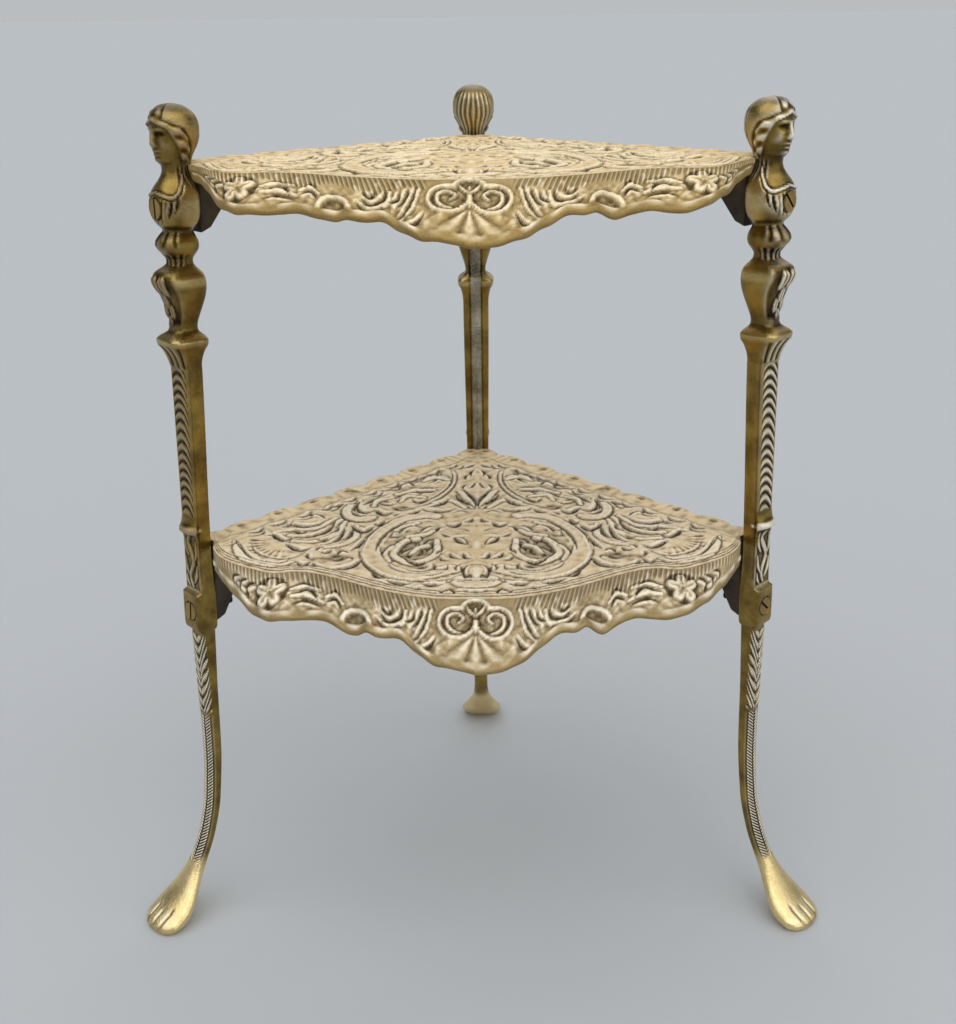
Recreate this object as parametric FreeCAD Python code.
import FreeCAD, Part
import math
import os

Vector = FreeCAD.Vector
Rotation = FreeCAD.Rotation
Placement = FreeCAD.Placement

# A two-tier corner plant stand in cast brass. Three figure legs carry two shelves.
# Millimetres, floor at Z = 0, the open front towards -Y and the room corner towards +Y.

# Plan: the leg axes stand on a right angle whose corner is the rear leg.
legSpan = 350.0
legDepth = legSpan / 2
legSplay = 2.75
splayHeight = 315.0

# Heights on the leg
headTop = 531.0
headBottom = 501.0
chestMiddle = 476.0
chestBottom = 463.0
ringMiddle = 453.5
vaseMiddle = 430.0
capitalTop = 404.0
capitalBottom = 386.0
knotMiddle = 278.0
bossTop = 235.0
bossBottom = 207.0
legBendTop = 82.0

# Leg sections, lateral width by depth
headWidth = 27.0
headDepth = 28.0
neckRadius = 7.4
shoulderRadius = 12.0
chestRadius = 14.7
chestBackFlat = 11.5
ringRadius = 10.8
vaseRadius = 13.6
waistRadius = 6.6
capitalNeckWidth = 13.0
capitalWidth = 22.0
shaftTopSize = (18.5, 12.0)
shaftFootSize = (16.0, 10.0)
panelMargin = 2.2
panelDepth = 1.2
knotWidth = 14.0
knotRise = 3.2
bossWidth = 17.0
bossBack = 7.0
bossFront = 8.0
bossChamfer = 6.0
shinTopSize = (12.5, 10.0)
ankleSize = (10.5, 9.0)
pawWidth = 32.0
pawReach = 51.0
toeCount = 4
toeLength = 17.0
toeSetback = 0.25
toeHeight = 10.0
toeOverlap = 1.12
soleSink = 4.0
loftDegree = 3

# Shelves
upperShelfTop = 499.0
lowerShelfTop = 268.0
plateThickness = 3.0
apronThickness = 2.6
apronTuck = Vector(0, 1.5, -0.7)
apronInward = Vector(0, 0.5, -0.86)
tipWidth = 17.0
upperTipInset = 22.0
lowerTipInset = 4.4
scallopCount = 8
scallopDepth = 5.6
lugWidth = 13.0
lugLength = 34.0
lugToe = 7.0
lugToeRise = 3.0
upperLugDrop = 40.0
lowerLugDrop = 56.0
upperScrewDrop = 25.0
lowerScrewDrop = 46.0

# Screws
screwDiameter = 6.0
screwHeadDiameter = 11.5
screwHeadHeight = 3.0
slotWidth = 1.6
slotDepth = 1.4
screwGrip = 15.0
threadClearance = 0.05
legHoleDiameter = 6.6
counterboreDiameter = 12.1
chestSeat = 11.5
bossSeat = bossFront - screwHeadHeight

# Front outline of a shelf top, right half, from the leg to the middle: (x, y)
sideLobe = [(164.5, -6.0), (157.0, -24.0), (140.0, -39.0), (119.0, -48.0)]
lobeStart = 119.0
upperLobeShare = 0.82
lowerLobeShare = 1.0
frontBow = [(119.0, -48.0), (72.0, -69.0), (35.0, -84.5), (0.0, -88.0)]

# Lower rim of the flared apron, right half, from the leg to the middle: (x, y, drop)
apronRim = [
    (162.0, -19.0, 8.0), (150.5, -43.0, 12.5), (122.0, -72.0, 17.0), (92.0, -77.0, 14.5),
    (76.0, -87.0, 15.5), (58.0, -96.0, 14.5), (44.0, -99.0, 16.0), (22.0, -121.0, 22.0), (0.0, -127.0, 24.0),
]

# Main relief of a shelf top: bands that stand on a sunk ground. Right half, half width then points (x, y).
reliefHeight = 1.0
groundScale = 0.93
groundCenter = Vector(0, 30, 0)
bands = [
    (5.0, [(24, 38), (42, 36), (57, 23), (65, 0), (66, -17), (62, -33), (53, -47), (36, -55), (14, -46)]),
    (2.6, [(25, -2), (25, -24), (38, -37), (51, -24), (46, -4)]),
    (3.0, [(66, 38), (76, 33), (85, 40), (87, 54), (79, 68)]),
    (2.6, [(84, 30), (90, 8), (103, -3), (118, -2)]),
    (2.6, [(92, 36), (104, 20), (118, 17), (132, 12)]),
    (2.6, [(76, 24), (77, 4), (84, -8), (96, -13)]),
    (3.0, [(104, -24), (117, -28), (130, -21), (138, -9), (141, 4)]),
    (2.2, [(18, 132), (15, 117), (15, 103), (18, 88), (25, 72), (34, 60), (45, 53), (58, 48)]),
    (2.4, [(23, 104), (30, 111), (40, 103)]),
    (2.4, [(28, 85), (44, 87), (58, 77)]),
    (2.4, [(54, 73), (68, 67), (71, 54)]),
    (2.2, [(2, 50), (7, 68), (13, 86)]),
    (2.4, [(8, 50), (18, 65), (30, 60)]),
]
maskCenter = Vector(0, 8, 0)
maskSize = (26.0, 44.0)
cabochonCenter = Vector(0, -51, 0)
cabochonRadius = 7.0

# Main relief of the apron: (x, share of the way down) on its outer sheet
cartoucheRings = [(-11.0, 0.37, 10.5), (11.0, 0.37, 10.5), (0.0, 0.2, 8.0)]
cartoucheBead = 1.5
pleatTop = 0.66
pleatFoot = 0.95
pleatSpread = [-13.0, -6.5, 0.0, 6.5, 13.0]
pleatRadius = 1.7
flowerPlaces = [(-121.0, 0.5), (121.0, 0.5)]
flowerRadius = 8.5
flowerRise = 2.0

legs = {
    "left": (Vector(-legSpan / 2, 0, 0), 225.0),
    "right": (Vector(legSpan / 2, 0, 0), 315.0),
    "rear": (Vector(0, legDepth, 0), 90.0),
}


def legPlacement(name):
    # Local +X is the leg's carved outer side. The foot end splays outwards.
    base, heading = legs[name]
    turn = Placement(base, Rotation(Vector(0, 0, 1), heading))
    tilt = Placement(Vector(), Rotation(Vector(0, 1, 0), -legSplay), Vector(0, 0, splayHeight))
    return turn.multiply(tilt)


def placed(shape, name):
    copy = shape.copy()
    copy.Placement = legPlacement(name).multiply(copy.Placement)
    return copy


def block(xRange, yRange, zRange):
    size = [high - low for low, high in (xRange, yRange, zRange)]
    return Part.makeBox(*size, Vector(xRange[0], yRange[0], zRange[0]))


def rodAlongX(radius, xStart, xEnd, z):
    return Part.makeCylinder(radius, xEnd - xStart, Vector(xStart, 0, z), Vector(1, 0, 0))


def splineEdge(points):
    curve = Part.BSplineCurve()
    curve.interpolate(points)
    return curve.toShape()


def turned(profile):
    # A smooth profile of (radius, z), turned about the leg axis.
    points = [Vector(radius, 0, z) for radius, z in profile]
    bottom = Vector(0, 0, points[0].z)
    top = Vector(0, 0, points[-1].z)
    side = splineEdge(points)
    lines = [Part.makeLine(points[-1], top), Part.makeLine(top, bottom), Part.makeLine(bottom, points[0])]
    face = Part.Face(Part.Wire([side] + lines))
    return face.revolve(Vector(), Vector(0, 0, 1), 360)


def ellipsoid(center, halfSizes):
    matrix = FreeCAD.Matrix()
    matrix.scale(*halfSizes)
    shape = Part.makeSphere(1.0).transformGeometry(matrix)
    shape.translate(center)
    return shape


def rectangleAt(z, width, back, front):
    corners = [(back, -width / 2), (front, -width / 2), (front, width / 2), (back, width / 2)]
    points = [Vector(x, y, z) for x, y in corners]
    return Part.makePolygon(points + points[:1])


def roundedSection(x, z, pitch, halfWidth, halfThickness):
    # A soft-cornered oval. The pitch is 0 where the leg runs down and 90 where it runs outwards.
    squareness = 0.8
    lean = math.radians(pitch)
    points = []
    for step in range(12):
        angle = 2 * math.pi * step / 12
        cosine = math.cos(angle)
        sine = math.sin(angle)
        across = halfWidth * math.copysign(abs(sine) ** squareness, sine)
        out = halfThickness * math.copysign(abs(cosine) ** squareness, cosine)
        points.append(Vector(x + out * math.cos(lean), across, z + out * math.sin(lean)))
    curve = Part.BSplineCurve()
    curve.interpolate(points, PeriodicFlag=True)
    return Part.Wire(curve.toShape())


def bust():
    # Draped chest and neck in one turning, an egg-shaped head, a small nose and chin, and a hair mass.
    chest = turned([
        (neckRadius + 0.6, chestBottom - 2), (shoulderRadius, chestBottom + 2),
        (chestRadius, chestMiddle - 4), (chestRadius, chestMiddle + 4), (shoulderRadius, chestMiddle + 12),
        (neckRadius + 1, headBottom - 5), (neckRadius, headBottom - 1), (neckRadius + 0.2, headBottom + 6),
    ])
    middle = (headTop + headBottom) / 2
    tall = (headTop - headBottom) / 2
    head = ellipsoid(Vector(1.0, 0, middle - 1), (headDepth / 2 - 2.0, headWidth / 2 - 2.5, tall - 0.5))
    hair = ellipsoid(Vector(-2.0, 0, middle + 1.5), (headDepth / 2 - 2.0, headWidth / 2, tall - 1.5))
    nose = Part.makeCone(2.4, 0.8, 6.0, Vector(headDepth / 2 - 3.4, 0, middle - 5), Vector(-0.12, 0, 1))
    chin = ellipsoid(Vector(headDepth / 2 - 7.5, 0, headBottom + 3.5), (5.0, 5.5, 4.0))
    behind = block((-3 * chestRadius, -chestBackFlat), (-30, 30), (chestBottom - 5, headBottom - 1))
    return chest.cut(behind), [head, hair, nose, chin]


def column():
    # Ring collar, vase and the two waists below the bust.
    vaseSide = vaseRadius - 2
    ringSide = ringRadius - 1.5
    joint = waistRadius + 1.6
    return turned([
        (waistRadius + 0.6, capitalTop - 4), (waistRadius, capitalTop + 1), (joint, capitalTop + 5),
        (vaseSide, vaseMiddle - 9), (vaseRadius, vaseMiddle), (vaseSide, vaseMiddle + 6.5),
        (joint, vaseMiddle + 9.5), (waistRadius, ringMiddle - 9.5), (ringSide, ringMiddle - 4.5),
        (ringRadius, ringMiddle), (ringSide, ringMiddle + 4), (joint, chestBottom - 2.5),
        (joint, chestBottom + 3),
    ])


def capital():
    # A square abacus that swells out of the waist and narrows into the shaft.
    half = capitalWidth / 2
    neckHalf = capitalNeckWidth / 2
    shaftHalf = shaftTopSize[1] / 2
    neck = rectangleAt(capitalTop, capitalNeckWidth, -neckHalf, neckHalf)
    abacusTop = rectangleAt(capitalTop - 6, capitalWidth, -half, half)
    abacusBottom = rectangleAt(capitalTop - 10, capitalWidth, -half, half)
    foot = rectangleAt(capitalBottom, shaftTopSize[0], -shaftHalf, shaftHalf)
    steps = [neck, abacusTop, abacusBottom, foot]
    return [Part.makeLoft([high, low], True, True) for high, low in zip(steps, steps[1:])]


def shaft():
    # A tapered flat bar with a sunk panel down its outer side.
    topWidth, topDepth = shaftTopSize
    footWidth, footDepth = shaftFootSize
    bar = Part.makeLoft([
        rectangleAt(capitalBottom, topWidth, -topDepth / 2, topDepth / 2),
        rectangleAt(bossTop, footWidth, -footDepth / 2, footDepth / 2),
    ], True, True)
    topFront = topDepth / 2
    footFront = footDepth / 2
    floor = 0.5 * (topFront + footFront) - panelDepth
    panelTop = capitalBottom - 6
    panelBottom = knotMiddle + 8
    panel = Part.makeLoft([
        rectangleAt(panelTop, topWidth - 2 * panelMargin, floor + 0.3, topFront + 2),
        rectangleAt(panelBottom, footWidth - 2 * panelMargin, floor - 0.3, topFront + 2),
    ], True, True)
    knot = Part.makeLoft([
        rectangleAt(knotMiddle + 7, knotWidth - 5, 0, footFront),
        rectangleAt(knotMiddle, knotWidth, 0, footFront + knotRise),
        rectangleAt(knotMiddle - 6, knotWidth - 4, 0, footFront),
    ], True, True)
    return bar.cut(panel), knot


def boss():
    # The plain block that takes the lower screw, with its lower front edge cut away.
    solid = block((-bossBack, bossFront), (-bossWidth / 2, bossWidth / 2), (bossBottom, bossTop))
    past = bossFront + 1
    below = bossBottom - 1
    edge = [(past, below + bossChamfer + 2), (past, below), (past - bossChamfer, below)]
    corner = Part.makePolygon([Vector(x, -bossWidth, z) for x, z in edge + edge[:1]])
    return solid.cut(Part.Face(corner).extrude(Vector(0, 2 * bossWidth, 0)))


def lowerLeg():
    # A slim shin that sweeps outwards into a flattened paw.
    shinWidth, shinDepth = shinTopSize
    ankleWidth, ankleDepth = ankleSize
    stations = [
        (0.0, bossBottom + 4, 0, shinWidth / 2, shinDepth / 2),
        (0.0, 165.0, 0, shinWidth / 2 - 0.2, shinDepth / 2 - 0.2),
        (-1.5, 120.0, 2, ankleWidth / 2 + 0.3, ankleDepth / 2 + 0.2),
        (0.5, legBendTop, 10, ankleWidth / 2, ankleDepth / 2),
        (5.5, 57.0, 20, ankleWidth / 2, ankleDepth / 2),
        (14.0, 36.0, 32, ankleWidth / 2 + 0.6, ankleDepth / 2),
        (23.5, 19.5, 48, pawWidth / 2 - 5.0, 6.0),
        (33.0, 7.5, 65, pawWidth / 2 - 0.8, 7.6),
        (pawReach - 9, 2.0, 80, pawWidth / 2 - 0.4, 6.0),
        (pawReach - 3, 0.5, 90, pawWidth / 2 - 2.4, 3.8),
    ]
    sections = [roundedSection(*station) for station in stations]
    return Part.makeLoft(sections, True, False, False, loftDegree)


def toes():
    # Four rounded toes side by side across the end of the paw, the outer two set back.
    pitch = pawWidth / toeCount
    row = []
    for index in range(toeCount):
        across = (index - (toeCount - 1) / 2) * pitch
        out = pawReach - toeLength / 2 - abs(across) * toeSetback
        center = Vector(out, across, toeHeight / 2 - soleSink)
        row.append(ellipsoid(center, (toeLength / 2, toeOverlap * pitch / 2, toeHeight / 2)))
    return row


def screwSeats():
    # A counterbored hole through the chest, and another through the boss.
    holes = []
    for z, seat in ((upperShelfTop - upperScrewDrop, chestSeat), (lowerShelfTop - lowerScrewDrop, bossSeat)):
        holes.append(rodAlongX(legHoleDiameter / 2, -40, 40, z))
        holes.append(rodAlongX(counterboreDiameter / 2, seat, 40, z))
    return holes


def leg():
    chest, features = bust()
    bar, knot = shaft()
    body = bar.fuse([knot, boss(), lowerLeg(), column(), chest] + capital())
    return body.fuse(features + toes()).cut(screwSeats())


def frontOutline(half, lift):
    # Mirrors a right half outline into one run of points from the left leg to the right leg.
    right = [Vector(point[0], point[1], -point[2] if len(point) > 2 else 0.0) for point in half]
    left = [Vector(-point.x, point.y, point.z) for point in right]
    points = left + right[-2::-1]
    return [point + lift for point in points]


def drawnIn(points, lobeShare):
    # The same outline with its side lobe shortened, so that the upper shelf ends clear of the busts.
    return [(lobeStart + (x - lobeStart) * (lobeShare if x > lobeStart else 1), *rest) for x, *rest in points]


def legTip(name, inset, side):
    # A corner of the shelf's cut end, square to the leg's heading.
    base, heading = legs[name]
    out = Vector(math.cos(math.radians(heading)), math.sin(math.radians(heading)), 0)
    across = Vector(-out.y, out.x, 0)
    return base - out * inset + across * (side * tipWidth / 2)


def scallops(start, end):
    # Shallow lobes from one corner to the next, half a lobe at each end, with the valleys set inwards.
    pitch = (end - start) / scallopCount
    inward = Vector(-pitch.y, pitch.x, 0).normalize() * scallopDepth
    valleys = [start + pitch * (index + 0.5) + inward for index in range(scallopCount)]
    quarterDrop = inward * 0.22
    edges = [Part.Arc(start, start + pitch * 0.25 + quarterDrop, valleys[0]).toShape()]
    for index in range(1, scallopCount):
        edges.append(Part.Arc(valleys[index - 1], start + pitch * index, valleys[index]).toShape())
    edges.append(Part.Arc(valleys[-1], end - pitch * 0.25 + quarterDrop, end).toShape())
    return edges


def plateFace(tipInset, lobeShare):
    # Outline of the top: two scalloped back edges, three cut corners and the bowed front.
    lobe = drawnIn(sideLobe, lobeShare)
    leftLobe = [Vector(-x, y, 0) for x, y in lobe]
    bow = frontOutline(frontBow, Vector())
    rightLobe = [Vector(x, y, 0) for x, y in reversed(lobe)]
    rightFront = legTip("right", tipInset, -1)
    rightBack = legTip("right", tipInset, 1)
    rearRight = legTip("rear", tipInset, -1)
    rearLeft = legTip("rear", tipInset, 1)
    leftBack = legTip("left", tipInset, -1)
    leftFront = legTip("left", tipInset, 1)
    edges = [splineEdge(leftLobe), splineEdge(bow), splineEdge(rightLobe)]
    edges += [Part.makeLine(rightLobe[-1], rightFront), Part.makeLine(rightFront, rightBack)]
    edges += scallops(rightBack, rearRight)
    edges.append(Part.makeLine(rearRight, rearLeft))
    edges += scallops(rearLeft, leftBack)
    edges += [Part.makeLine(leftBack, leftFront), Part.makeLine(leftFront, leftLobe[0])]
    return Part.Face(Part.Wire(edges))


def bandFace(halfWidth, points):
    # A leaf-shaped band: two curves on either side of its run that meet at both ends.
    run = [Vector(x, y, 0) for x, y in points]
    sides = []
    for side in (1, -1):
        edge = [run[0]]
        for before, here, after in zip(run, run[1:], run[2:]):
            along = (after - before).normalize()
            edge.append(here + Vector(-along.y, along.x, 0) * (side * halfWidth))
        sides.append(splineEdge(edge + [run[-1]]))
    return Part.Face(Part.Wire(sides))


def topRelief():
    # Bands on both halves, an oval for the mask in the middle and a round cabochon in front of it.
    faces = [bandFace(halfWidth, points) for halfWidth, points in bands]
    faces += [bandFace(halfWidth, [(-x, y) for x, y in points]) for halfWidth, points in bands]
    maskTip = maskCenter + Vector(0, maskSize[1] / 2, 0)
    maskSide = maskCenter + Vector(maskSize[0] / 2, 0, 0)
    mask = Part.Ellipse(maskTip, maskSide, maskCenter)
    cabochon = Part.Circle(cabochonCenter, Vector(0, 0, 1), cabochonRadius)
    faces += [Part.Face(Part.Wire(oval.toShape())) for oval in (mask, cabochon)]
    return [face.extrude(Vector(0, 0, -plateThickness / 2)) for face in faces]


def plate(tipInset, lobeShare):
    # The flat top with its ground sunk inside a border, and the main relief standing on the ground.
    outline = plateFace(tipInset, lobeShare)
    inner = FreeCAD.Matrix()
    inner.move(groundCenter * -1)
    inner.scale(groundScale, groundScale, 1)
    inner.move(groundCenter)
    ground = outline.transformGeometry(inner).extrude(Vector(0, 0, -reliefHeight))
    slab = outline.extrude(Vector(0, 0, -plateThickness))
    return slab.cut(ground).fuse(topRelief())


def apron(lobeShare):
    # A ruled sheet from just inside the top's front edge down and out to the scalloped rim.
    thickness = apronInward * apronThickness
    top = frontOutline(drawnIn(sideLobe[:-1] + frontBow, lobeShare), apronTuck)
    rim = frontOutline(drawnIn(apronRim, lobeShare), Vector())
    outer = [splineEdge(top), splineEdge(rim)]
    inner = [splineEdge([point + thickness for point in points]) for points in (top, rim)]
    faces = [
        Part.makeRuledSurface(outer[0], outer[1]), Part.makeRuledSurface(inner[0], inner[1]),
        Part.makeRuledSurface(outer[0], inner[0]), Part.makeRuledSurface(outer[1], inner[1]),
    ]
    for end in (0, -1):
        ring = [top[end], rim[end], rim[end] + thickness, top[end] + thickness, top[end]]
        faces.append(Part.Face(Part.makePolygon(ring)))
    sheet = Part.makeCompound(faces)
    sheet.sewShape()
    solid = Part.makeSolid(sheet.Shells[0])
    if solid.Volume < 0:
        solid.reverse()
    return solid.fuse(apronRelief(faces[0]))


def onApron(sheet, x, share):
    # The place on the apron's outer sheet at this x, a share of the way down, and the way it faces.
    low, high, top, foot = sheet.ParameterRange
    rowHeight = top + (foot - top) * share
    rising = sheet.valueAt(high, rowHeight).x > sheet.valueAt(low, rowHeight).x
    for _ in range(40):
        middle = (low + high) / 2
        if (sheet.valueAt(middle, rowHeight).x < x) == rising:
            low = middle
        else:
            high = middle
    normal = sheet.normalAt(low, rowHeight)
    return sheet.valueAt(low, rowHeight), normal if normal.z > 0 else normal * -1


def apronRelief(sheet):
    # A cartouche of three rings over a pleated fan in the middle, and a flower on each side lobe.
    relief = []
    for x, share, radius in cartoucheRings:
        place, normal = onApron(sheet, x, share)
        relief.append(Part.makeTorus(radius, cartoucheBead, place, normal))
    for spread in pleatSpread:
        start, _ = onApron(sheet, spread * 0.3, pleatTop)
        end, _ = onApron(sheet, spread, pleatFoot - abs(spread) * 0.004)
        relief.append(Part.makeCylinder(pleatRadius, (end - start).Length, start, end - start))
    for x, share in flowerPlaces:
        place, normal = onApron(sheet, x, share)
        flower = ellipsoid(Vector(), (flowerRadius, flowerRadius, flowerRise))
        flower.Placement = Placement(place, Rotation(Vector(0, 0, 1), normal))
        relief.append(flower)
    return relief


def lug(shelfTop, legFace, lugDrop, screwDrop):
    # A gusset under one corner, in the leg's own frame, tapped for the screw along local X.
    high = shelfTop - 0.5 * plateThickness
    low = shelfTop - lugDrop
    toe = -legFace - lugToe
    profile = [(-legFace, high), (-legFace, low), (toe, low + lugToeRise), (-legFace - lugLength, high)]
    points = [Vector(x, -lugWidth / 2, z) for x, z in profile]
    gusset = Part.Face(Part.makePolygon(points + points[:1])).extrude(Vector(0, lugWidth, 0))
    tapped = screwDiameter / 2 + threadClearance
    return gusset.cut(rodAlongX(tapped, -legFace - screwGrip - 3, -legFace + 1, shelfTop - screwDrop))


def shelf(shelfTop, legFace, tipInset, lobeShare, lugDrop, screwDrop):
    top = plate(tipInset, lobeShare).fuse(apron(lobeShare))
    top.translate(Vector(0, 0, shelfTop))
    lugs = [placed(lug(shelfTop, legFace, lugDrop, screwDrop), name) for name in legs]
    ceiling = block((-legSpan, legSpan), (-legSpan, legSpan), (shelfTop - plateThickness / 2, shelfTop + 50))
    return top.fuse([piece.cut(ceiling) for piece in lugs])


def screw(shelfTop, screwDrop, seat, legFace):
    z = shelfTop - screwDrop
    head = rodAlongX(screwHeadDiameter / 2, seat, seat + screwHeadHeight, z)
    shank = rodAlongX(screwDiameter / 2, -legFace - screwGrip, seat, z)
    slot = block((seat + screwHeadHeight - slotDepth, seat + screwHeadHeight + 1), (-10, 10),
                 (z - slotWidth / 2, z + slotWidth / 2))
    slot.rotate(Vector(0, 0, z), Vector(1, 0, 0), 35)
    return head.fuse(shank).cut(slot)


def onFloor(shape):
    # The sole is flat: everything below the floor goes.
    return shape.cut(block((-2 * legSpan, 2 * legSpan), (-2 * legSpan, 2 * legSpan), (-60, 0)))


def build():
    parts = {}
    figureLeg = leg()
    for name in legs:
        parts[f"{name}_leg"] = onFloor(placed(figureLeg, name))
    parts["upper_shelf"] = shelf(
        upperShelfTop, chestBackFlat, upperTipInset, upperLobeShare, upperLugDrop, upperScrewDrop)
    parts["lower_shelf"] = shelf(
        lowerShelfTop, bossBack, lowerTipInset, lowerLobeShare, lowerLugDrop, lowerScrewDrop)
    upperScrew = screw(upperShelfTop, upperScrewDrop, chestSeat, chestBackFlat)
    lowerScrew = screw(lowerShelfTop, lowerScrewDrop, bossSeat, bossBack)
    for name in legs:
        parts[f"upper_{name}_screw"] = placed(upperScrew, name)
        parts[f"lower_{name}_screw"] = placed(lowerScrew, name)
    return parts


os.makedirs("parts", exist_ok=True)
parts = build()
whole = Part.makeCompound(list(parts.values())).optimalBoundingBox(False)
toOrigin = Vector(-whole.Center.x, -whole.Center.y, 0)
print("origin shift", toOrigin, "size", whole.XLength, whole.YLength, whole.ZLength)
for node, shape in parts.items():
    shape.translate(toOrigin)
    print(node, len(shape.Solids), shape.isValid(), round(shape.Volume))
    shape.exportStep(f"parts/{node}.step")
